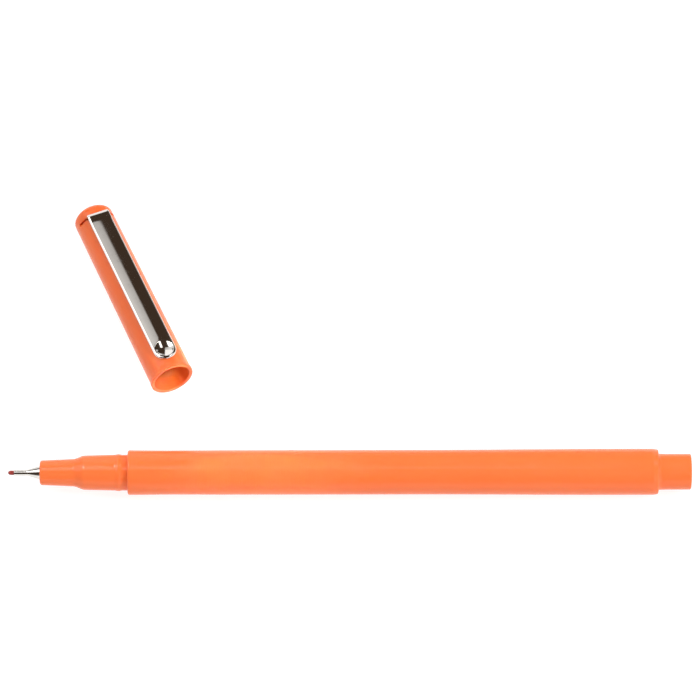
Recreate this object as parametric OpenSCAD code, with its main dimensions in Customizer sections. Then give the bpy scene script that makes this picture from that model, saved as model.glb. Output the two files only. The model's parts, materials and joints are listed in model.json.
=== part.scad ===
// Slim felt tip marker (fineliner) with its cap pulled off and lying beside it.
// The pen lies along X with its nib towards -X. The table is the plane z = 0.
// Stations along the pen, called u, count from the nib's point towards the rear plug.
// Stations along the cap, called t, count from its mouth towards its closed end.
// The origin is on the table, at the middle of the rectangle that pen and cap cover.

/* [Pen] */
// Length of the pen without its cap, from the nib's point to the rear plug's end
pen_len = 121; // [117:0.5:125]
// Where the barrel begins, counted from the nib's point
barrel_start = 21.2; // [20.8:0.1:22]
// Where the barrel ends, counted from the nib's point
barrel_end = 115.1; // [112:0.1:115.5]
// Outside diameter of the barrel along its middle
barrel_d = 7.92; // [7.8:0.02:8.1]
// Outside diameter of the barrel near its rear end, where it is thickest
barrel_rear_d = 8.2; // [8.1:0.05:8.4]
// Inside diameter of the barrel
barrel_bore_d = 6.5; // [6.5:0.02:6.6]

/* [Nib] */
// Diameter of the fibre nib
fibre_d = 0.77; // [0.6:0.01:0.8]
// Bare length of the fibre in front of its steel sleeve
fibre_bare = 1.06; // [0.8:0.02:1.3]
// Outside diameter of the sleeve's thin tube
tube_d = 1.04; // [1.02:0.01:1.1]
// Where the thin tube opens into the cone, counted from the nib's point
cone_start = 3.42; // [3:0.02:3.8]
// Diameter of the sleeve's cone where it enters the front section
cone_d = 2.46; // [2.4:0.02:2.6]

/* [Front section] */
// Where the section's front face is, counted from the nib's point
nose_start = 5.65; // [5.4:0.05:5.9]
// Diameter of the nose behind its rounded front edge
nose_d = 4.36; // [4.2:0.02:4.5]
// Diameter of the nose where the step up to the cap seat begins
nose_back_d = 4.86; // [4.7:0.02:4.95]
// Diameter of the cap seat at its front
seat_d = 6.12; // [6:0.02:6.2]
// Diameter of the cap seat at its back and of the neck in front of the barrel
neck_d = 6.37; // [6.25:0.02:6.4]
// Diameter of the bead that the cap snaps over
bead_d = 6.57; // [6.45:0.01:6.6]

/* [Rear plug] */
// Diameter of the plug's post, which the cap can be parked on
post_d = 6.36; // [6.2:0.02:6.4]

/* [Cap] */
// Length of the cap from its mouth to where its domed end begins
cap_wall_len = 37.9; // [37.5:0.1:39]
// Height of the domed end
dome_h = 1.95; // [1.6:0.05:2.4]
// Outside diameter of the cap just behind its lip
cap_mouth_d = 7.8; // [7.7:0.02:7.9]
// Outside diameter of the cap where the dome begins
cap_top_d = 7.3; // [7.2:0.02:7.5]
// Outside diameter of the thin lip round the mouth
cap_lip_d = 7.94; // [7.9:0.02:8]
// Inside diameter of the cap's mouth
cap_bore_d = 6.66; // [6.64:0.01:6.7]
// How deep the mouth's bore is
cap_bore_len = 9; // [8.9:0.05:9.3]

/* [Clip] */
// Width of the clip
clip_w = 4.2; // [3.6:0.1:4.3]
// Thickness of the clip's sheet
clip_sheet = 0.3; // [0.25:0.01:0.32]
// Height of the clip's face over the cap's axis
clip_face = 4.6; // [4.55:0.05:4.9]
// Distance from the cap's mouth to the clip's round end
clip_end = 1.8; // [1.5:0.1:3]
// Width of the dimple that is pressed into the clip's end
dimple_d = 3; // [2.6:0.1:3.1]

/* [Layout on the table] */
// Distance of the cap's mouth from the nib's point, along the pen
mouth_x = 28.7; // [24:0.1:40]
// Distance of the cap's mouth from the pen's axis, across the pen
mouth_y = 19.9; // [16:0.1:30]
// Direction from the cap's mouth to its closed end, as an angle from +X
cap_yaw = 113.3; // [95:0.1:130]
// How far the cap is rolled about its own axis, from the clip facing straight up
cap_roll = 3.2; // [-10:0.1:10]

/* [Hidden] */

$fn = 96;
arc_steps = 10;   // points in each rounded stretch of an outline
cut = 0.5;        // how far a cutting shape runs past what it cuts

orange = [0.96, 0.45, 0.22];
steel = [0.75, 0.75, 0.76];

// Barrel
rim_d = 7.96;             // front rim
waist_d = 7.84;           // slight waist behind the front rim
waist_at = barrel_start + 7;
grip_start = barrel_start + 18;   // stretch of constant diameter
grip_end = grip_start + 38;
swell_at = barrel_end - 12;
band_at = barrel_end - 1;         // the rear edge narrows over the last millimetre
band_d = 7.98;
rim_round = 0.35;
rib_count = 4;
rib_w = 0.7;
rib_tip_r = 3.03;         // the ribs hold the reservoir's wrap between them
rib_gap = 1;              // bare stretch between a rib's end and a spigot

// Nib, sleeve and holder
sleeve_wall = 0.12;
sleeve_end = 10.65;
holder_front = 6.2;
collar_start = 11.15;
collar_end = 17.2;
collar_r = 1.6;
nib_bore_r = fibre_d / 2 + 0.005;
fibre_len = 36;

// Front section
step_start = 11.4;
step_end = 13.7;
seat_end = 18.4;
bead_at = 19.65;
bead_half = 0.8;
nose_round = 0.28;
spigot_len = 10;
spigot_bore_r = 2.2;

// Reservoir
reservoir_start = barrel_start + spigot_len + 0.4;
reservoir_end = barrel_end - 8.5;
reservoir_r = 2.85;
wrap_r = 3;

// Rear plug
post_base_r = 3.24;
post_base_len = 1.4;
post_round = 0.4;
post_dome = 0.25;
plug_spigot_len = 8;
plug_bore_r = 2.4;
plug_floor = 1.4;

// Cap
lip_len = 0.6;
lip_blend = 0.6;
mouth_chamfer = 0.1;
liner_r = 3.05;
liner_start = 9.3;
liner_bore_r = 2.5;
liner_lead = 0.5;         // taper at the liner's mouth
web_start = 22.9;
web_len = 0.8;
liner_end = 35.8;
chamber_r = 2.95;
dome_wall = 0.75;

// Clip: the foot is the flat end that stands in the cap's slot
foot_front = 36.35;
foot_back = foot_front + clip_sheet;
bend_r = 0.9;             // outside radius of the bend between face and foot
foot_reach = 0.9;         // how close the foot comes to the cap's axis
slot_start = 36.25;
slot_end = 36.75;
slot_floor = 1.5;         // distance of the slot's flat floor from the cap's axis
clip_crown = 0.22;        // how much the face falls away towards its edges
clip_rim = 0.28;          // width of the edges that are turned down
clip_rim_drop = 0.28;     // how far they reach below the sheet
dimple_depth = 0.36;

// Layout
pen_z = barrel_rear_d / 2;
cap_z = cap_lip_d / 2;
dome_reach_y = cap_wall_len * sin(cap_yaw)
    + sqrt(pow(dome_h * sin(cap_yaw), 2) + pow(cap_top_d / 2 * cos(cap_yaw), 2));
centre_x = pen_len / 2;
centre_y = (mouth_y + dome_reach_y - pen_z) / 2;

// Outline points [radius, station] of a quarter round between two directions
function arc(cr, cs, r, from, to) =
    [for (i = [0 : arc_steps]) let (a = from + (to - from) * i / arc_steps)
        [cr + r * cos(a), cs + r * sin(a)]];

// Outline points of a smooth step, level at both ends
function smooth_step(r0, s0, r1, s1) =
    [for (i = [0 : arc_steps]) let (k = i / arc_steps)
        [r0 + (r1 - r0) * (1 - cos(180 * k)) / 2, s0 + (s1 - s0) * k]];

// Outline points of the bead's raised half wave
function bead_points(r, s, height, half) =
    [for (i = [0 : arc_steps]) let (k = i / arc_steps)
        [r + height * sin(180 * k), s - half + 2 * half * k]];

// Outline points of a dome, from its edge up to the axis
function dome_points(r, s, height) =
    [for (i = [0 : arc_steps]) let (a = 90 * i / arc_steps)
        [max(r * cos(a), 0), s + height * sin(a)]];

module turned(points) { rotate_extrude() polygon(points); }

// Puts a shape that stands on +Z along the pen, with u = 0 at the nib's point
module along_pen() {
    translate([-centre_x, -centre_y, pen_z]) rotate([0, 90, 0]) children();
}

// Puts a shape that stands on +Z along the cap, with t = 0 at the mouth and +X on the clip's side
module along_cap() {
    translate([mouth_x - centre_x, mouth_y - centre_y, cap_z])
        rotate([0, 0, cap_yaw]) rotate([0, 90, 0]) rotate([0, 0, 180 + cap_roll]) children();
}

module barrel_outside() {
    rim_r = rim_d / 2;
    band_r = band_d / 2;
    turned(concat(
        [[0, barrel_start]],
        arc(rim_r - rim_round, barrel_start + rim_round, rim_round, -90, 0),
        [[waist_d / 2, waist_at], [barrel_d / 2, grip_start], [barrel_d / 2, grip_end],
         [barrel_rear_d / 2, swell_at], [barrel_rear_d / 2, band_at]],
        arc(band_r - rim_round, barrel_end - rim_round, rim_round, 0, 90),
        [[0, barrel_end]]
    ));
}

module barrel() {
    rib_start = barrel_start + spigot_len + rib_gap;
    rib_end = barrel_end - plug_spigot_len - rib_gap;
    color(orange) along_pen() {
        difference() {
            barrel_outside();
            translate([0, 0, barrel_start - cut])
                cylinder(d = barrel_bore_d, h = barrel_end - barrel_start + 2 * cut);
        }
        for (i = [0 : rib_count - 1]) rotate([0, 0, 45 + i * 360 / rib_count])
            translate([rib_tip_r, -rib_w / 2, rib_start])
                cube([barrel_bore_d / 2 - rib_tip_r + 0.2, rib_w, rib_end - rib_start]);
    }
}

module rear_plug() {
    post_r = post_d / 2;
    post_end = pen_len - post_dome;
    color(orange) along_pen() difference() {
        turned(concat(
            [[0, barrel_end - plug_spigot_len],
             [barrel_bore_d / 2, barrel_end - plug_spigot_len],
             [barrel_bore_d / 2, barrel_end],
             [post_base_r, barrel_end],
             [post_r, barrel_end + post_base_len]],
            arc(post_r - post_round, post_end - post_round, post_round, 0, 90),
            [[0, pen_len]]
        ));
        translate([0, 0, barrel_end - plug_spigot_len - cut])
            cylinder(r = plug_bore_r, h = pen_len - plug_floor - barrel_end + plug_spigot_len + cut);
    }
}

module front_section() {
    spigot_end = barrel_start + spigot_len;
    color(orange) along_pen() difference() {
        turned(concat(
            [[0, nose_start]],
            arc(nose_d / 2 - nose_round, nose_start + nose_round, nose_round, -90, 0),
            smooth_step(nose_back_d / 2, step_start, seat_d / 2, step_end),
            [[neck_d / 2, seat_end]],
            bead_points(neck_d / 2, bead_at, (bead_d - neck_d) / 2, bead_half),
            [[neck_d / 2, barrel_start], [barrel_bore_d / 2, barrel_start],
             [barrel_bore_d / 2, spigot_end], [0, spigot_end]]
        ));
        translate([0, 0, nose_start - cut])
            cylinder(d = cone_d, h = collar_start - nose_start + 2 * cut);
        translate([0, 0, collar_start]) cylinder(r = collar_r, h = collar_end - collar_start);
        translate([0, 0, collar_end]) cylinder(r = spigot_bore_r, h = spigot_end - collar_end + cut);
    }
}

module nib_sleeve() {
    shank_r = cone_d / 2;
    color(steel) along_pen() turned([
        [tube_d / 2 - sleeve_wall, fibre_bare], [tube_d / 2, fibre_bare],
        [tube_d / 2, cone_start], [shank_r, nose_start],
        [shank_r, sleeve_end], [shank_r - sleeve_wall, sleeve_end],
        [shank_r - sleeve_wall, nose_start], [tube_d / 2 - sleeve_wall, cone_start]
    ]);
}

module nib_holder() {
    spigot_r = cone_d / 2 - sleeve_wall;
    color("white") along_pen() difference() {
        union() {
            translate([0, 0, holder_front]) cylinder(r = spigot_r, h = collar_end - holder_front);
            translate([0, 0, collar_start]) cylinder(r = collar_r, h = collar_end - collar_start);
        }
        translate([0, 0, holder_front - cut])
            cylinder(r = nib_bore_r, h = collar_end - holder_front + 2 * cut);
    }
}

module fibre_nib() {
    r = fibre_d / 2;
    color([0.72, 0.2, 0.16]) along_pen() turned(concat(
        [for (i = [0 : arc_steps]) let (a = 90 * i / arc_steps) [r * sin(a), r * (1 - cos(a))]],
        [[r, fibre_len], [0, fibre_len]]
    ));
}

module ink_reservoir() {
    color([0.9, 0.35, 0.15]) along_pen() difference() {
        translate([0, 0, reservoir_start])
            cylinder(r = reservoir_r, h = reservoir_end - reservoir_start);
        translate([0, 0, reservoir_start - cut])
            cylinder(r = nib_bore_r, h = fibre_len - reservoir_start + cut);
    }
}

module reservoir_wrap() {
    color("white") along_pen() difference() {
        translate([0, 0, reservoir_start]) cylinder(r = wrap_r, h = reservoir_end - reservoir_start);
        translate([0, 0, reservoir_start - cut])
            cylinder(r = reservoir_r, h = reservoir_end - reservoir_start + 2 * cut);
    }
}

module cap_outside() {
    lip_r = cap_lip_d / 2;
    turned(concat(
        [[0, 0], [lip_r - mouth_chamfer, 0], [lip_r, mouth_chamfer], [lip_r, lip_len],
         [cap_mouth_d / 2, lip_len + lip_blend]],
        dome_points(cap_top_d / 2, cap_wall_len, dome_h)
    ));
}

module cap_inside() {
    bore_r = cap_bore_d / 2;
    translate([0, 0, -cut]) cylinder(r = bore_r, h = cap_bore_len + cut);
    translate([0, 0, -mouth_chamfer])
        cylinder(r1 = bore_r + 2 * mouth_chamfer, r2 = bore_r, h = 2 * mouth_chamfer);
    cylinder(r = liner_r, h = liner_end);
    turned(concat([[0, liner_end - cut], [chamber_r, liner_end - cut]],
        dome_points(chamber_r, cap_wall_len, dome_h - dome_wall)));
}

module cap_shell() {
    color(orange) along_cap() difference() {
        cap_outside();
        cap_inside();
        translate([slot_floor, -cap_mouth_d / 2, slot_start])
            cube([cap_mouth_d, cap_mouth_d, slot_end - slot_start]);
    }
}

module cap_liner() {
    color([0.93, 0.42, 0.2]) along_cap() difference() {
        translate([0, 0, liner_start]) cylinder(r = liner_r, h = liner_end - liner_start);
        translate([0, 0, liner_start - cut]) cylinder(r = liner_bore_r, h = web_start - liner_start + cut);
        translate([0, 0, liner_start])
            cylinder(r1 = liner_bore_r + 0.3, r2 = liner_bore_r, h = liner_lead);
        translate([0, 0, web_start + web_len])
            cylinder(r = liner_bore_r, h = liner_end - web_start);
    }
}

// Cross-section of the clip's arm: a crowned strip with its two edges turned down
module clip_profile() {
    half = clip_w / 2;
    crown_r = (half * half + clip_crown * clip_crown) / (2 * clip_crown);
    rim_x = clip_face - clip_crown - clip_sheet - clip_rim_drop;
    intersection() {
        translate([clip_face - crown_r, 0]) difference() {
            circle(r = crown_r, $fn = 400);
            circle(r = crown_r - clip_sheet, $fn = 400);
        }
        translate([rim_x, -half]) square([clip_face, clip_w]);
    }
    for (side = [-1, 1])
        translate([rim_x, side > 0 ? half - clip_rim : -half])
            square([clip_rim_drop + clip_sheet, clip_rim]);
}

module clip_arm() {
    half = clip_w / 2;
    arm_end = foot_back - bend_r;
    intersection() {
        translate([0, 0, clip_end]) linear_extrude(arm_end - clip_end) clip_profile();
        union() {
            translate([0, 0, clip_end + half]) rotate([0, 90, 0]) cylinder(r = half, h = 2 * clip_face);
            translate([0, -half, clip_end + half]) cube([2 * clip_face, clip_w, arm_end]);
        }
    }
}

module clip_foot() {
    half = clip_w / 2;
    bend_x = clip_face - bend_r;
    bend_t = foot_back - bend_r;
    translate([bend_x, half, bend_t]) rotate([90, 0, 0]) rotate_extrude(angle = 90)
        translate([bend_r - clip_sheet, 0]) square([clip_sheet, clip_w]);
    translate([foot_reach, -half, foot_front]) cube([bend_x - foot_reach, clip_w, clip_sheet]);
}

module clip() {
    dimple_r = dimple_d / 2;
    dimple_t = clip_end + clip_w / 2;
    bowl_r = (dimple_r * dimple_r + dimple_depth * dimple_depth) / (2 * dimple_depth);
    color(steel) along_cap() {
        difference() {
            clip_arm();
            translate([0, 0, dimple_t]) rotate([0, 90, 0]) cylinder(r = dimple_r, h = 2 * clip_face);
        }
        intersection() {
            translate([clip_face + bowl_r - dimple_depth, 0, dimple_t]) difference() {
                sphere(r = bowl_r + clip_sheet);
                sphere(r = bowl_r);
            }
            translate([0, 0, dimple_t]) rotate([0, 90, 0]) cylinder(r = dimple_r, h = clip_face);
        }
        clip_foot();
    }
}

barrel();
rear_plug();
front_section();
nib_sleeve();
nib_holder();
fibre_nib();
ink_reservoir();
reservoir_wrap();
cap_shell();
cap_liner();
clip();
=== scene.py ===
import json
import math

import bmesh
import bpy
from mathutils import Matrix, Quaternion, Vector


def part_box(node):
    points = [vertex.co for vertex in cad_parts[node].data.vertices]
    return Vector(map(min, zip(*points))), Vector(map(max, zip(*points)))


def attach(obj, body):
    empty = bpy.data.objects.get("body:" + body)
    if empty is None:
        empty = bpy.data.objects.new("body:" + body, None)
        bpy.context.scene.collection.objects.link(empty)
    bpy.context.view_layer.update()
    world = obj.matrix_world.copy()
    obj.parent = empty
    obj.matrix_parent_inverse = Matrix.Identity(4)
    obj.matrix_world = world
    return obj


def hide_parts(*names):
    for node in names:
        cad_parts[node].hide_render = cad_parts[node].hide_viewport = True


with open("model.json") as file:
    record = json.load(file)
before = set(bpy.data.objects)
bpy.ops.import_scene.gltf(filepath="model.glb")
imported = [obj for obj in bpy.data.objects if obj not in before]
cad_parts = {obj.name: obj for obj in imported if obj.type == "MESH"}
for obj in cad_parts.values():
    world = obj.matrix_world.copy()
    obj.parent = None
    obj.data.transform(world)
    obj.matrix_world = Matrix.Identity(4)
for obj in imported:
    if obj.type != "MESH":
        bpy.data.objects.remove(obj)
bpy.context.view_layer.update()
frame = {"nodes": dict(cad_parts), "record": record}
record = frame["record"]

MM = 0.001
TURN = 2 * math.pi


# ---------------------------------------------------------------- places

def axis_frame(origin, along, up):
    """Matrix from (s along the axis, side, up) in metres to the row frame."""
    along, up = Vector(along).normalized(), Vector(up).normalized()
    side = up.cross(along)
    m = Matrix((along, side, up)).transposed().to_4x4()
    m.translation = Vector(origin)
    return m


nib_low, nib_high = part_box("fibre_nib")
barrel_low, barrel_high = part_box("barrel")
pen = axis_frame((nib_low.x, (barrel_low.y + barrel_high.y) / 2, (barrel_low.z + barrel_high.z) / 2),
                 (1, 0, 0), (0, 0, 1))

cap_bore = next(m for m in record["mounts"] if m["name"] == "cap_bore")
clip_hinge = next(j for j in record["behaviour"]["joints"] if j["name"] == "clip_flex")
BORE_MIDDLE = 4.55 * MM      # how far inside the mouth the bore's mount lies
into_cap = -Vector(cap_bore["axis"])
cap = axis_frame(Vector(cap_bore["pos_m"]) - into_cap * BORE_MIDDLE, into_cap,
                 into_cap.cross(Vector(clip_hinge["axis"])))


# ---------------------------------------------------------------- mesh tools

def add_object(name, bm, body, material, replaces=()):
    for f in bm.faces:
        f.smooth = True
    mesh = bpy.data.meshes.new(name)
    bm.to_mesh(mesh)
    bm.free()
    obj = bpy.data.objects.new(name, mesh)
    bpy.context.scene.collection.objects.link(obj)
    mesh.materials.append(material)
    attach(obj, body)
    if replaces:
        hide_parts(*replaces)
    return obj


def rounded(points, closed=False, steps=6):
    """A fine outline from (s, r, corner radius) points, with a support point beside each rounding."""
    n = len(points)
    out = []
    for i, (s, r, rad) in enumerate(points):
        ends = not closed and i in (0, n - 1)
        if rad <= 0 or ends:
            out.append((s, r))
            continue
        p = Vector((s, r))
        a = Vector(points[i - 1][:2]) - p
        b = Vector(points[(i + 1) % n][:2]) - p
        turn = math.pi - a.angle(b)
        if turn < 1e-3:
            out.append((s, r))
            continue
        reach = min(rad * math.tan(turn / 2), 0.45 * a.length, 0.45 * b.length)
        rad = reach / math.tan(turn / 2)
        an, bn = a.normalized(), b.normalized()
        start, stop = p + an * reach, p + bn * reach
        centre = p + (an + bn).normalized() * (rad / math.cos(turn / 2))
        va, vb = start - centre, stop - centre
        out.append(tuple(p + an * min(reach * 1.5, 0.48 * a.length)))
        sweep = math.sin(turn)
        for k in range(steps + 1):
            f = k / steps
            if abs(sweep) > 1e-6:
                v = va * (math.sin((1 - f) * turn) / sweep) + vb * (math.sin(f * turn) / sweep)
            else:
                v = va.lerp(vb, f)
            out.append(tuple(centre + v.normalized() * rad))
        out.append(tuple(p + bn * min(reach * 1.5, 0.48 * b.length)))
    return out


def refine(outline, longest, closed=False):
    """Adds points so that no stretch of the outline is longer than longest."""
    out = []
    n = len(outline)
    for i in range(n if closed else n - 1):
        a, b = Vector(outline[i]), Vector(outline[(i + 1) % n])
        parts = max(1, math.ceil((b - a).length / longest))
        out += [tuple(a.lerp(b, k / parts)) for k in range(parts)]
    if not closed:
        out.append(outline[-1])
    return out


def lathe(outline, place, segments=96, closed=False):
    """Turns an outline of (s, r) in millimetres about an axis. Points with r = 0 become poles."""
    bm = bmesh.new()
    uv = bm.loops.layers.uv.new("UVMap")
    rings = []
    for s, r in outline:
        if r < 1e-6:
            rings.append([bm.verts.new(place @ Vector((s * MM, 0, 0)))])
            continue
        ring = []
        for k in range(segments):
            th = TURN * k / segments - math.pi
            ring.append(bm.verts.new(place @ Vector((s * MM, r * math.sin(th) * MM, r * math.cos(th) * MM))))
        rings.append(ring)
    lengths = [0.0]
    for i in range(1, len(outline)):
        lengths.append(lengths[-1] + (Vector(outline[i]) - Vector(outline[i - 1])).length)
    around = max(r for _, r in outline) * TURN
    n = len(outline)
    for i in range(n if closed else n - 1):
        j = (i + 1) % n
        a, b = rings[i], rings[j]
        v0, v1 = lengths[i], lengths[j] if j > i else lengths[i] + 1
        for k in range(segments):
            q = (k + 1) % segments
            u0, u1 = around * k / segments, around * (k + 1) / segments
            if len(a) == 1 and len(b) == 1:
                continue
            if len(a) == 1:
                corners = [(a[0], u0, v0), (b[q], u1, v1), (b[k], u0, v1)]
            elif len(b) == 1:
                corners = [(a[k], u0, v0), (a[q], u1, v0), (b[0], u0, v1)]
            else:
                corners = [(a[k], u0, v0), (a[q], u1, v0), (b[q], u1, v1), (b[k], u0, v1)]
            face = bm.faces.new([c[0] for c in corners])
            for loop, c in zip(face.loops, corners):
                loop[uv].uv = (c[1] * 0.01, c[2] * 0.01)
    bmesh.ops.recalc_face_normals(bm, faces=bm.faces)
    return bm


# ---------------------------------------------------------------- material tools

class Nodes:
    """Short names for building a node tree."""

    def __init__(self, tree):
        self.tree = tree
        self.tree.nodes.clear()

    def add(self, kind, **values):
        node = self.tree.nodes.new(kind)
        for key, value in values.items():
            setattr(node, key, value)
        return node

    def link(self, a, b):
        self.tree.links.new(a, b)

    def put(self, socket, value):
        if isinstance(value, bpy.types.NodeSocket):
            self.link(value, socket)
        else:
            socket.default_value = value

    def math(self, operation, a, b=0.0, c=0.0, clamp=False):
        node = self.add("ShaderNodeMath", operation=operation, use_clamp=clamp)
        for socket, value in zip(node.inputs, (a, b, c)):
            self.put(socket, value)
        return node.outputs[0]

    def ramp(self, value, low, high, to_low=0.0, to_high=1.0, smooth=True):
        node = self.add("ShaderNodeMapRange", interpolation_type="SMOOTHSTEP" if smooth else "LINEAR")
        for socket, v in zip(node.inputs, (value, low, high, to_low, to_high)):
            self.put(socket, v)
        return node.outputs[0]

    def noise(self, vector, scale, detail=2.0, roughness=0.5, distortion=0.0):
        node = self.add("ShaderNodeTexNoise")
        self.put(node.inputs["Vector"], vector)
        node.inputs["Scale"].default_value = scale
        node.inputs["Detail"].default_value = detail
        node.inputs["Roughness"].default_value = roughness
        node.inputs["Distortion"].default_value = distortion
        return node.outputs["Fac"]

    def scaled(self, vector, scale, rotation=(0, 0, 0)):
        node = self.add("ShaderNodeMapping")
        self.put(node.inputs["Vector"], vector)
        node.inputs["Scale"].default_value = scale
        node.inputs["Rotation"].default_value = rotation
        return node.outputs[0]

    def mix(self, factor, a, b, blend="MIX"):
        node = self.add("ShaderNodeMix", data_type="RGBA", blend_type=blend)
        self.put(node.inputs["Factor"], factor)
        self.put(node.inputs["A"], a)
        self.put(node.inputs["B"], b)
        return node.outputs["Result"]

    def bump(self, height, strength, distance, normal=None):
        node = self.add("ShaderNodeBump")
        node.inputs["Strength"].default_value = strength
        node.inputs["Distance"].default_value = distance
        self.put(node.inputs["Height"], height)
        if normal is not None:
            self.link(normal, node.inputs["Normal"])
        return node.outputs[0]


def new_material(name):
    material = bpy.data.materials.new(name)
    material.use_nodes = True
    nodes = Nodes(material.node_tree)
    shader = nodes.add("ShaderNodeBsdfPrincipled")
    output = nodes.add("ShaderNodeOutputMaterial")
    nodes.link(shader.outputs[0], output.inputs[0])
    place = nodes.add("ShaderNodeTexCoord").outputs["Object"]
    return material, nodes, shader, place


def linear(r, g, b):
    """A colour given as 8-bit sRGB, as linear RGBA."""
    def one(c):
        c /= 255
        return c / 12.92 if c <= 0.04045 else ((c + 0.055) / 1.055) ** 2.4
    return (one(r), one(g), one(b), 1.0)


def darker(colour, share):
    return tuple(c * share for c in colour[:3]) + (1,)


def plastic(name, colour, deep, pale, roughness, grain=1.0, glow=0.0):
    """Satin moulded plastic: cloudy pigment, a fine moulded grain, and faint rubbed patches."""
    material, n, shader, place = new_material(name)
    cloud = n.noise(place, 55, 4, 0.55)
    flow = n.noise(n.scaled(place, (30, 260, 260)), 1.0, 3, 0.5, 0.6)
    tint = n.mix(n.ramp(cloud, 0.35, 0.7, 0.0, 0.55), colour, deep)
    tint = n.mix(n.ramp(flow, 0.5, 0.8, 0.0, 0.35), tint, pale)
    n.link(tint, shader.inputs["Base Color"])
    rubbed = n.noise(place, 240, 3, 0.6)
    n.link(n.ramp(rubbed, 0.3, 0.75, roughness - 0.05, roughness + 0.08), shader.inputs["Roughness"])
    grain_fine = n.noise(place, 9000, 2, 0.6)
    orange_peel = n.noise(place, 900, 2, 0.5)
    scuff = n.noise(n.scaled(place, (500, 4200, 4200), (0, 0, 0.5)), 1.0, 2, 0.4)
    height = n.math("ADD", n.math("MULTIPLY", grain_fine, 0.5 * grain),
                    n.math("ADD", n.math("MULTIPLY", orange_peel, 1.2),
                           n.math("MULTIPLY", n.ramp(scuff, 0.68, 0.76), -0.18)))
    n.link(n.bump(height, 0.35, 0.00001), shader.inputs["Normal"])
    shader.inputs["IOR"].default_value = 1.49
    shader.inputs["Specular IOR Level"].default_value = 0.3
    if glow:
        shader.inputs["Subsurface Weight"].default_value = glow
        shader.inputs["Subsurface Radius"].default_value = (1.0, 0.32, 0.12)
        shader.inputs["Subsurface Scale"].default_value = 0.0005
    return material


def brushed_steel(name, colour, roughness):
    """Drawn stainless tube: fine rings round its axis, which runs along X."""
    material, n, shader, place = new_material(name)
    rings = n.noise(n.scaled(place, (26000, 600, 600)), 1.0, 3, 0.6)
    patches = n.noise(place, 700, 3, 0.6)
    n.link(n.mix(n.ramp(patches, 0.4, 0.75, 0.0, 0.5), colour, darker(colour, 0.82)), shader.inputs["Base Color"])
    n.link(n.ramp(rings, 0.3, 0.75, roughness - 0.05, roughness + 0.1), shader.inputs["Roughness"])
    n.link(n.bump(rings, 0.25, 0.000004), shader.inputs["Normal"])
    shader.inputs["Metallic"].default_value = 1.0
    return material


def chrome(name, colour):
    """Bright plated steel with hairline scratches along the clip and a few cloudy spots."""
    material, n, shader, place = new_material(name)
    turn = math.atan2(cap[1][0], cap[0][0])
    hair = n.noise(n.scaled(place, (900, 24000, 24000), (0, 0, -turn)), 1.0, 2, 0.5)
    scratch = n.ramp(hair, 0.66, 0.72)
    fog = n.noise(place, 420, 4, 0.6)
    n.link(n.mix(n.ramp(fog, 0.45, 0.8, 0.0, 0.5), colour, darker(colour, 0.85)), shader.inputs["Base Color"])
    rough = n.math("ADD", n.ramp(fog, 0.4, 0.8, 0.045, 0.11), n.math("MULTIPLY", scratch, 0.1))
    n.link(rough, shader.inputs["Roughness"])
    ripple = n.noise(place, 200, 1, 0.4)
    height = n.math("ADD", n.math("MULTIPLY", scratch, -0.12), ripple)
    n.link(n.bump(height, 0.08, 0.00001), shader.inputs["Normal"])
    shader.inputs["Metallic"].default_value = 1.0
    return material


def ink_fibre(name, colour, dark):
    """Bundled fibre soaked with ink: lengthwise strands and darker soaked patches."""
    material, n, shader, place = new_material(name)
    strands = n.noise(n.scaled(place, (1500, 16000, 16000)), 1.0, 3, 0.7)
    soaked = n.noise(place, 1800, 3, 0.6)
    tint = n.mix(n.ramp(strands, 0.35, 0.7, 0.0, 0.8), colour, dark)
    tint = n.mix(n.ramp(soaked, 0.5, 0.8, 0.0, 0.5), tint, dark)
    n.link(tint, shader.inputs["Base Color"])
    n.link(n.ramp(soaked, 0.3, 0.7, 0.55, 0.85), shader.inputs["Roughness"])
    n.link(n.bump(strands, 0.7, 0.00003), shader.inputs["Normal"])
    shader.inputs["Specular IOR Level"].default_value = 0.3
    return material


def fleece(name, colour, dark):
    """Polyester wadding of the reservoir."""
    material, n, shader, place = new_material(name)
    strands = n.noise(n.scaled(place, (250, 5000, 5000)), 1.0, 4, 0.7, 0.8)
    n.link(n.mix(n.ramp(strands, 0.3, 0.7), colour, dark), shader.inputs["Base Color"])
    shader.inputs["Roughness"].default_value = 0.9
    n.link(n.bump(strands, 0.8, 0.00008), shader.inputs["Normal"])
    return material


ORANGE = linear(253, 123, 66)
ORANGE_DEEP = linear(250, 118, 61)
ORANGE_PALE = linear(255, 128, 73)
CAP_ORANGE = linear(236, 112, 56)
CAP_ORANGE_DEEP = linear(231, 107, 51)
CAP_ORANGE_PALE = linear(240, 118, 64)

pen_plastic = plastic("orange_pen_plastic", ORANGE, ORANGE_DEEP, ORANGE_PALE, 0.12, glow=0.25)
cap_plastic = plastic("orange_cap_plastic", CAP_ORANGE, CAP_ORANGE_DEEP, CAP_ORANGE_PALE, 0.14, glow=0.45)
liner_plastic = plastic("liner_plastic", linear(226, 84, 44), linear(212, 72, 38), linear(236, 98, 56),
                        0.45, glow=0.2)
holder_plastic = plastic("holder_plastic", linear(236, 233, 226), linear(224, 220, 212), linear(245, 243, 238),
                         0.4)
wrap_film = plastic("wrap_film", linear(238, 236, 232), linear(228, 226, 220), linear(246, 245, 242),
                    0.2, grain=0.3)
steel = brushed_steel("sleeve_steel", linear(222, 219, 214), 0.09)
clip_chrome = chrome("clip_chrome", linear(232, 229, 224))
fibre = ink_fibre("ink_fibre", linear(172, 66, 56), linear(104, 34, 32))
wadding = fleece("reservoir_wadding", linear(236, 120, 70), linear(200, 84, 44))


# ---------------------------------------------------------------- pen

# Outlines are (s, r, corner radius) in millimetres. On the pen s runs from the nib's tip to the rear end,
# and on the cap from its mouth to the top of its dome.

BARREL_BORE_R = 3.25      # the section and the plug are pressed in here
BARREL_R = 3.96

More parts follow.
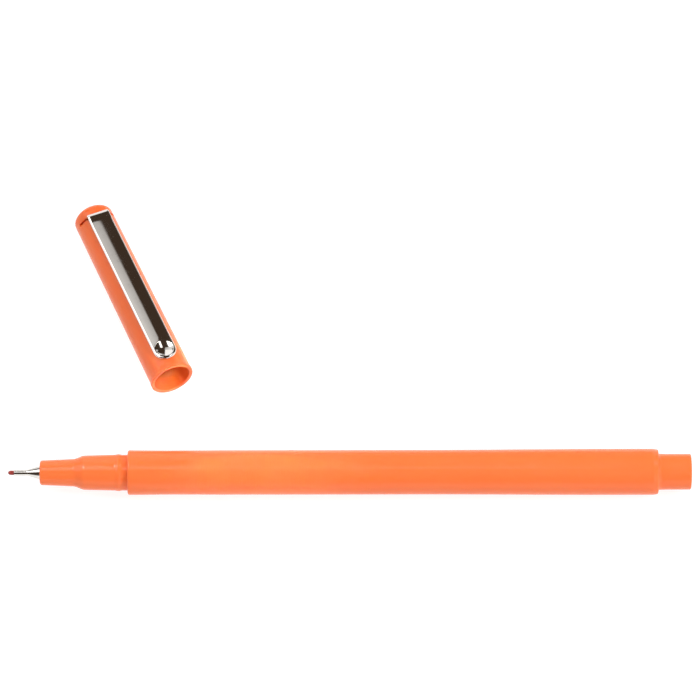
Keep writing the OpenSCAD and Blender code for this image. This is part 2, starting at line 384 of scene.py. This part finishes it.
barrel_outline = rounded([
    (21.2, BARREL_BORE_R, 0.08), (21.2, 3.98, 0.42), (28.2, 3.92, 40), (39.2, BARREL_R, 40), (77.2, BARREL_R, 60),
    (103.1, 4.1, 60), (114.1, 4.1, 0.15), (115.1, 3.95, 0.25), (115.1, BARREL_BORE_R, 0.05),
], closed=True)
add_object("barrel_tube", lathe(refine(barrel_outline, 1.6, True), pen, 128, True),
           "pen", pen_plastic, ["barrel"])

POST_R = 3.18
plug_outline = rounded([
    (119.6, 0, 0), (119.6, 2.4, 0.2), (107.1, 2.4, 0.1), (107.1, BARREL_BORE_R, 0.2),
    (115.02, BARREL_BORE_R, 0.05), (115.02, 3.24, 0), (116.5, POST_R, 2.0), (120.9, POST_R, 0.3),
    (120.94, 2.6, 1.2), (121.0, 0, 0),
])
add_object("rear_plug_post", lathe(refine(plug_outline, 0.8), pen, 96),
           "pen", pen_plastic, ["rear_plug"])


def smooth_step(s0, r0, s1, r1, parts=14):
    """An S-shaped change of radius."""
    return [(s0 + (s1 - s0) * k / parts, r0 + (r1 - r0) * (1 - math.cos(math.pi * k / parts)) / 2, 0)
            for k in range(parts + 1)]


def bead(s, r, height, half, parts=16):
    """A low ring round the section, that the cap snaps over."""
    return [(s - half + 2 * half * k / parts, r + height * math.sin(math.pi * k / parts) ** 1.5, 0)
            for k in range(parts + 1)]


NOSE_FACE = 5.65      # the sleeve comes out of the section here
SEAT_R = 3.185
section_outline = rounded(
    [(NOSE_FACE, 1.235, 0.05), (NOSE_FACE, 2.18, 0.4)]
    + smooth_step(11.4, 2.43, 13.7, 3.06)
    + [(18.4, 3.175, 0)]
    + bead(19.55, SEAT_R, 0.1, 0.62)
    + [(21.3, SEAT_R, 0.02), (21.4, BARREL_BORE_R, 0.02), (31.2, BARREL_BORE_R, 0.2), (31.2, 2.2, 0.1),
       (17.2, 2.2, 0.1), (17.2, 1.6, 0.1), (11.15, 1.6, 0.1), (11.15, 1.235, 0.05)], closed=True)
add_object("front_section_nose", lathe(refine(section_outline, 0.5, True), pen, 112, True),
           "pen", pen_plastic, ["front_section"])

TUBE_START, TUBE_END = 1.06, 3.42
sleeve_outline = rounded([
    (TUBE_START, 0.405, 0.03), (TUBE_START, 0.52, 0.055), (TUBE_END, 0.52, 0.9), (NOSE_FACE, 1.225, 0.5),
    (10.65, 1.225, 0.05), (10.65, 1.11, 0.04), (NOSE_FACE, 1.11, 0.5), (TUBE_END, 0.405, 0.6),
], closed=True, steps=8)
add_object("nib_sleeve_tube", lathe(refine(sleeve_outline, 0.25, True), pen, 96, True),
           "pen", steel, ["nib_sleeve"])

FIBRE_R = 0.385
TIP_LENGTH = 0.5      # the point is a little longer than a half ball


def quarter(parts):
    """Angles over a quarter turn."""
    return [math.pi / 2 * k / parts for k in range(parts + 1)]


fibre_outline = [(TIP_LENGTH * (1 - math.cos(a)), FIBRE_R * math.sin(a)) for a in quarter(14)]
fibre_outline += [(36.0, FIBRE_R), (36.0, 0.0)]
add_object("fibre_nib_rod", lathe(refine(fibre_outline, 0.12), pen, 48),
           "pen", fibre, ["fibre_nib"])


# ---------------------------------------------------------------- cap

DOME_START, DOME_TOP = 37.9, 39.85
WALL_TOP = 39.1      # inside of the dome
MOUTH_BORE_R, INNER_R = 3.33, 3.05
MOUTH_R = 3.97


def half_dome(top, r, parts):
    height = top - DOME_START
    return [(DOME_START + height * math.sin(a), r * math.cos(a), 0) for a in quarter(parts)][:-1] + [(top, 0, 0)]


cap_outline = rounded(
    half_dome(WALL_TOP, 2.95, 10)[::-1]
    + [(35.6, 2.95, 0.05), (35.55, INNER_R, 0.05), (9.0, INNER_R, 0.1), (9.0, MOUTH_BORE_R, 0.1),
       (0.1, MOUTH_BORE_R, 0.0), (0.0, 3.45, 0.05), (0.0, 3.87, 0.1), (0.1, MOUTH_R, 0.1),
       (0.6, MOUTH_R, 0.2), (1.2, 3.9, 0.5)]
    + half_dome(DOME_TOP, 3.65, 22))
shell = add_object("cap_shell_body", lathe(refine(cap_outline, 1.2), cap, 128),
                   "cap", cap_plastic, ["cap_shell"])


def cut_box(obj, low, high):
    """Cuts a box out of an object. Its corners are (s, side, up) on the cap, in millimetres."""
    bm = bmesh.new()
    bmesh.ops.create_cube(bm, size=1.0)
    for v in bm.verts:
        local = [lo if c < 0 else hi for c, lo, hi in zip(v.co, low, high)]
        v.co = cap @ (Vector(local) * MM)
    mesh = bpy.data.meshes.new("cutter")
    bm.to_mesh(mesh)
    bm.free()
    cutter = bpy.data.objects.new("cutter", mesh)
    bpy.context.scene.collection.objects.link(cutter)
    boolean = obj.modifiers.new("cut", "BOOLEAN")
    boolean.operation = "DIFFERENCE"
    boolean.solver = "EXACT"
    boolean.object = cutter
    bpy.context.view_layer.update()
    cut_mesh = bpy.data.meshes.new_from_object(obj.evaluated_get(bpy.context.evaluated_depsgraph_get()))
    obj.modifiers.clear()
    obj.data = cut_mesh
    bpy.data.objects.remove(cutter)


cut_box(shell, (36.25, -3.9, 1.5), (36.75, 3.9, 6.0))      # the clip's slot
shell.data.set_sharp_from_angle(angle=math.radians(32))

liner_outline = rounded([
    (22.9, 0, 0), (22.9, 2.5, 0.2), (9.8, 2.5, 0.1), (9.3, 2.8, 0.08), (9.3, 3.05, 0.05), (35.8, 3.05, 0.1),
    (35.8, 2.5, 0.1), (23.7, 2.5, 0.2), (23.7, 0, 0),
])
add_object("cap_liner_cup", lathe(refine(liner_outline, 1.2), cap, 80),
           "cap", liner_plastic, ["cap_liner"])


# ---------------------------------------------------------------- clip

# Millimetres: t runs along the clip from the cap's mouth, b across it, and heights are from the cap's axis.

HALF = 2.1             # half the strip's width
SHEET = 0.3
FACE = 4.51            # height of the strip's face
END = 1.8              # where the round end starts
CENTRE = END + HALF    # of the round end
CROWN = 0.22           # the face is this much higher in its middle than at its edges
ROOT_CROWN = 0.12      # the strip grows flatter towards its root
RIM_DROP = 0.28        # the turned-down edges reach this far below the sheet
EDGE_R = 0.36          # rounding of the edges
RIM = 0.28             # thickness of the turned-down edges
DIMPLE_CENTRE = CENTRE + 0.1
DIMPLE_R = 1.72
DIMPLE_DEPTH = 0.43
DIMPLE_REACH = 1.8     # how far it goes from the round end's middle
BOWL_R = 1.5           # the bowl runs to here and then blends into the face
BLEND = 0.28
# before it bends down into the slot the strip rises a little
RISE_R, RISE_TURN, RISE_LENGTH = 7.0, math.radians(4.3), 0.9
BEND_R = 0.9
FOOT_BACK = 36.65      # where the foot stands in the slot
FOOT_REACH = 0.9       # height of the foot's lower end
FLATTENS = 8, 33       # the crown shrinks over this stretch of t
CROWN_ENDS = 33.4, 35.6
RIM_ENDS = 34.9, 35.7


def smooth(x, low, high):
    x = min(max((x - low) / (high - low), 0), 1)
    return x * x * (3 - 2 * x)


def clip_half_profile(crown, drop, face_parts=22, edge_parts=8, under_parts=8):
    """Half of the clip's section as (b, height): the middle of its face, its edge, and the middle below."""
    def skin(b):
        return -crown * (b / HALF) ** 2

    flat = HALF - EDGE_R
    points = [(b, skin(b)) for b in [flat * k / face_parts for k in range(face_parts + 1)]]
    points += [(flat + EDGE_R * math.sin(a), skin(flat) - EDGE_R * 0.93 * (1 - math.cos(a)))
               for a in quarter(edge_parts)[1:]]
    lowest = skin(HALF) - SHEET - drop
    inner_b = HALF - RIM
    under = skin(inner_b) - SHEET
    points += [(HALF, lowest + 0.1), (HALF - 0.03, lowest + 0.03), (HALF - 0.1, lowest),
               (inner_b + 0.07, lowest), (inner_b + 0.01, lowest + 0.04), (inner_b, lowest + 0.1),
               (inner_b - 0.02, max(under - 0.06, lowest + 0.12)), (inner_b - 0.12, under)]
    for k in range(under_parts - 1, 0, -1):
        b = inner_b * k / under_parts
        points.append((b * 0.9, skin(b) - SHEET))
    return points + [(0, -SHEET)]


def dimple(t, b):
    """Height of the dimple at a point on the clip: a bowl that blends into the face."""
    rho = math.hypot(t - DIMPLE_CENTRE, b)
    bowl = 1 - (rho / DIMPLE_R) ** 2
    if rho < BOWL_R:
        return -DIMPLE_DEPTH * bowl
    edge = 1 - (BOWL_R / DIMPLE_R) ** 2
    slope = -2 * BOWL_R / DIMPLE_R ** 2
    x = min((rho - BOWL_R) / BLEND, 1)
    # a cubic that carries the bowl's height and slope smoothly to level
    return -DIMPLE_DEPTH * ((1 + 2 * x) * (1 - x) ** 2 * edge + x * (1 - x) ** 2 * BLEND * slope)


def clip_path():
    """Stations along the clip as (t, height, tilt of the section in radians, crown, rim drop)."""
    stations = []
    bend_start = FOOT_BACK - BEND_R * (1 + math.sin(RISE_TURN))
    slope_start = bend_start - RISE_LENGTH * math.cos(RISE_TURN)
    straight_end = slope_start - RISE_R * math.sin(RISE_TURN)
    t = CENTRE
    while t < CENTRE + DIMPLE_REACH:      # close together over the dimple
        stations.append((t, FACE, 0.0))
        t += 0.1
    straight_parts, arc_parts, slope_parts, bend_parts, foot_parts = 46, 8, 4, 18, 8
    for k in range(straight_parts + 1):
        stations.append((t + (straight_end - t) * k / straight_parts, FACE, 0.0))
    for k in range(1, arc_parts + 1):
        a = RISE_TURN * k / arc_parts
        stations.append((straight_end + RISE_R * math.sin(a), FACE + RISE_R * (1 - math.cos(a)), -a))
    slope_height = stations[-1][1]
    for k in range(1, slope_parts + 1):
        up = RISE_LENGTH * k / slope_parts
        stations.append((slope_start + up * math.cos(RISE_TURN), slope_height + up * math.sin(RISE_TURN), -RISE_TURN))
    bend_t = FOOT_BACK - BEND_R
    bend_h = stations[-1][1] - BEND_R * math.cos(RISE_TURN)
    for k in range(1, bend_parts + 1):
        a = -RISE_TURN + (math.pi / 2 + RISE_TURN) * k / bend_parts
        stations.append((bend_t + BEND_R * math.sin(a), bend_h + BEND_R * math.cos(a), a))
    for k in range(1, foot_parts + 1):
        stations.append((FOOT_BACK, bend_h + (FOOT_REACH - bend_h) * k / foot_parts, math.pi / 2))
    out = []
    for t, h, tilt in stations:
        crown = CROWN - (CROWN - ROOT_CROWN) * smooth(t, *FLATTENS)
        out.append((t, h, tilt, crown * (1 - smooth(t, *CROWN_ENDS)), RIM_DROP * (1 - smooth(t, *RIM_ENDS))))
    return out


def build_clip():
    """The strip, swept along its path in mirrored halves, with its round end turned about the end's middle."""
    bm = bmesh.new()
    uv = bm.loops.layers.uv.new("UVMap")
    coords = {}

    def vert(t, b, h, u, v):
        made = bm.verts.new(cap @ Vector((t * MM, b * MM, h * MM)))
        coords[made] = (u * 0.01, v * 0.01)
        return made

    def face(*verts):
        made = bm.faces.new(verts)
        for loop in made.loops:
            loop[uv].uv = coords[loop.vert]

    rings = []
    for t, h, tilt, crown, drop in clip_path():
        half = clip_half_profile(crown, drop)
        ring = {}
        for side in (1, -1):
            row = []
            for i, (b, down) in enumerate(half):
                if side < 0 and i in (0, len(half) - 1):
                    row.append(ring[1][i])
                    continue
                down_here = down + (dimple(t, b) if tilt == 0 else 0)
                tt = t + down_here * math.sin(tilt)
                hh = h + down_here * math.cos(tilt)
                row.append(vert(tt, side * b, hh, side * b, t))
            ring[side] = row
        rings.append(ring)
    for a, b in zip(rings, rings[1:]):
        for side in (1, -1):
            for i in range(len(a[side]) - 1):
                face(a[side][i], a[side][i + 1], b[side][i + 1], b[side][i])
    half = clip_half_profile(CROWN, RIM_DROP)
    fan, count = [rings[0][1]], 36
    for k in range(1, count):
        a = math.pi * k / count
        row = []
        for i, (rho, down) in enumerate(half):
            if i in (0, len(half) - 1):
                row.append(rings[0][1][i])
                continue
            t, b = CENTRE - rho * math.sin(a), rho * math.cos(a)
            row.append(vert(t, b, FACE + down + dimple(t, b), b, t))
        fan.append(row)
    fan.append(rings[0][-1])
    for a, b in zip(fan, fan[1:]):
        for i in range(len(a) - 1):
            corners = []
            for v in (a[i], a[i + 1], b[i + 1], b[i]):
                if v not in corners:
                    corners.append(v)
            face(*corners)
    foot = rings[-1]
    face(*foot[1], *foot[-1][-2:0:-1])
    bmesh.ops.recalc_face_normals(bm, faces=bm.faces)
    return bm


clip_object = add_object("clip_strip", build_clip(), "clip", clip_chrome, ["clip"])
clip_object.data.set_sharp_from_angle(angle=math.radians(50))

for node, material in (("nib_holder", holder_plastic), ("ink_reservoir", wadding), ("reservoir_wrap", wrap_film)):
    mesh = frame["nodes"][node].data
    mesh.materials.clear()
    mesh.materials.append(material)


# ---------------------------------------------------------------- floor, light and camera

FLOOR_HALF, FLOOR_CELLS = 3.0, 8
floor_bm = bmesh.new()
bmesh.ops.create_grid(floor_bm, x_segments=FLOOR_CELLS, y_segments=FLOOR_CELLS, size=FLOOR_HALF)
floor_mesh = bpy.data.meshes.new("floor")
floor_bm.to_mesh(floor_mesh)
floor_bm.free()
floor = bpy.data.objects.new("floor", floor_mesh)
bpy.context.scene.collection.objects.link(floor)
floor_material, fn, floor_shader, floor_place = new_material("floor_white")
fn.link(fn.mix(fn.noise(floor_place, 3), (0.25, 0.25, 0.25, 1), (0.27, 0.27, 0.268, 1)),
        floor_shader.inputs["Base Color"])
floor_shader.inputs["Roughness"].default_value = 0.9
floor_shader.inputs["Specular IOR Level"].default_value = 0.1
floor_shader.inputs["Emission Color"].default_value = (1, 1, 1, 1)
floor_shader.inputs["Emission Strength"].default_value = 0.87
floor_mesh.materials.append(floor_material)


DARK_ROOM = (0.052, 0.033, 0.022)      # what the chrome shows where there is no panel


def build_world():
    """A pale tent in the dark, open overhead: what the chrome shows is these panels.

    x, y and z are the parts of a direction. Each panel has limits in them, a soft edge and a level.
    """
    world = bpy.data.worlds.new("soft_tent")
    bpy.context.scene.world = world
    world.use_nodes = True
    n = Nodes(world.node_tree)
    direction = n.add("ShaderNodeTexCoord").outputs["Generated"]
    split = n.add("ShaderNodeSeparateXYZ")
    n.link(direction, split.inputs[0])
    x, y, z = split.outputs

    def between(value, low, high, edge):
        return n.math("MULTIPLY", n.ramp(value, low - edge, low + edge),
                      n.ramp(value, high - edge, high + edge, 1.0, 0.0))

    def panel(x0, x1, y0, y1, z0, z1, edge, level):
        value = level
        for axis, low, high in ((x, x0, x1), (y, y0, y1), (z, z0, z1)):
            value = n.math("MULTIPLY", value, between(axis, low, high, edge))
        return value

    def slant(x0, x1, lean, y0, y1, edge, level):
        """A panel overhead whose left and right ends lean: x0 and x1 hold at y = 0."""
        leaning = n.math("ADD", x, n.math("MULTIPLY", y, lean))
        value = n.math("MULTIPLY", between(leaning, x0, x1, edge), between(y, y0, y1, edge))
        return n.math("MULTIPLY", n.math("MULTIPLY", value, n.ramp(z, 0.45, 0.55)), level)

    walls = n.math("MULTIPLY", n.ramp(z, 0.41, 0.47, 0.95, 0.0), n.ramp(y, -0.6, 0.0, 0.04, 1.0))
    right_card = panel(0.48, 1.1, 0.25, 1.1, -0.2, 0.6, 0.04, 0.9)
    gap = panel(-0.02, 0.12, 0.78, 1.1, 0.0, 0.6, 0.02, 0.62)
    light = n.math("MULTIPLY", walls, n.math("SUBTRACT", 1.0, n.math("ADD", right_card, gap)))
    for args in (
        (-1.1, -0.66, -0.15, 0.6, 0.2, 0.72, 0.04, 1.1),      # left wall, which goes higher
        (-0.38, -0.01, 0.65, 1.1, 0.3, 0.76, 0.02, 1.1),      # so does the middle of the back wall
        (0.35, 0.47, 0.66, 0.94, 0.3, 0.64, 0.02, 0.58),      # grey part of the back wall
        (0.3, 1.1, -1.1, -0.35, 0.0, 0.62, 0.04, 1.0),        # card in front of the cap's mouth
        (0.7, 1.1, -0.6, 0.2, 0.3, 0.75, 0.05, 1.3),          # right wall
    ):
        light = n.math("MAXIMUM", light, panel(*args))
    for args in (
        (-0.82, -0.03, 0.4, -0.24, 0.44, 0.02, 2.2),      # soft box high on the left
        (0.36, 0.48, 0.4, -0.12, 0.44, 0.015, 2.2),       # window high on the right
    ):
        light = n.math("MAXIMUM", light, slant(*args))
    # grey card that the clip's left half shows, brighter towards its left
    card_level = n.ramp(x, -0.24, 0.0, 0.74, 0.46, smooth=False)
    card = panel(-0.8, 0.012, 0.46, 0.66, 0.7, 0.9, 0.02, card_level)
    light = n.math("MAXIMUM", light, card)
    colour = n.add("ShaderNodeCombineColor")
    for socket, dark in zip(colour.inputs, DARK_ROOM):
        n.link(n.math("ADD", light, dark), socket)
    background = n.add("ShaderNodeBackground")
    n.link(colour.outputs[0], background.inputs["Color"])
    output = n.add("ShaderNodeOutputWorld")
    n.link(background.outputs[0], output.inputs[0])
    world.cycles.sampling_method = "MANUAL"
    world.cycles.sample_map_resolution = 1024


build_world()


def soft_light(name, azimuth, elevation, distance, size, watts, target=(0, 0, 0), spread=180, shines=False):
    """A soft box that looks at the target. Azimuth 0 is in front, 90 on the right.

    One that shines makes highlights only. The others don't, because the world's panels do.
    """
    az, el = math.radians(azimuth), math.radians(elevation)
    place = Vector((math.sin(az) * math.cos(el), -math.cos(az) * math.cos(el), math.sin(el))) * distance
    lamp = bpy.data.lights.new(name, "AREA")
    lamp.shape = "RECTANGLE"
    lamp.size, lamp.size_y = size
    lamp.energy = watts
    lamp.spread = math.radians(spread)
    obj = bpy.data.objects.new(name, lamp)
    obj.location = Vector(target) + place
    obj.rotation_euler = (-place).to_track_quat("-Z", "Y").to_euler()
    obj.visible_glossy = shines
    obj.visible_diffuse = not shines
    bpy.context.scene.collection.objects.link(obj)


soft_light("right_key", 74, 44, 1.0, (0.4, 0.4), 5.4)
soft_light("top_fill", 200, 80, 1.0, (0.6, 0.5), 2.0)
soft_light("front_fill", 12, 50, 1.0, (0.4, 0.3), 0.8)
soft_light("mouth_fill", 48, 28, 0.4, (0.02, 0.02), 0.0028, target=cap @ Vector((3 * MM, 0, 0)), spread=4)
soft_light("sparkle", 256, 68, 0.6, (0.09, 0.1), 1.0, shines=True)      # the speck on the snap bead

CAMERA_PLACE = Vector((0.00008, -0.48356, 0.7338))
CAMERA_AIM = Vector((0.00008, 0.00222, 0))
CAMERA_ROLL = math.radians(-0.09)

camera_data = bpy.data.cameras.new("camera")
camera_data.lens = 250
camera_data.sensor_width = 36
camera_data.clip_start = 0.05
camera_data.clip_end = 10
camera = bpy.data.objects.new("camera", camera_data)
camera.location = CAMERA_PLACE
looking = (CAMERA_AIM - CAMERA_PLACE).to_track_quat("-Z", "Y")
camera.rotation_euler = (looking @ Quaternion((0, 0, 1), CAMERA_ROLL)).to_euler()
bpy.context.scene.collection.objects.link(camera)
bpy.context.scene.camera = camera
bpy.context.scene.view_settings.view_transform = "Standard"
bpy.context.scene.view_settings.look = "None"
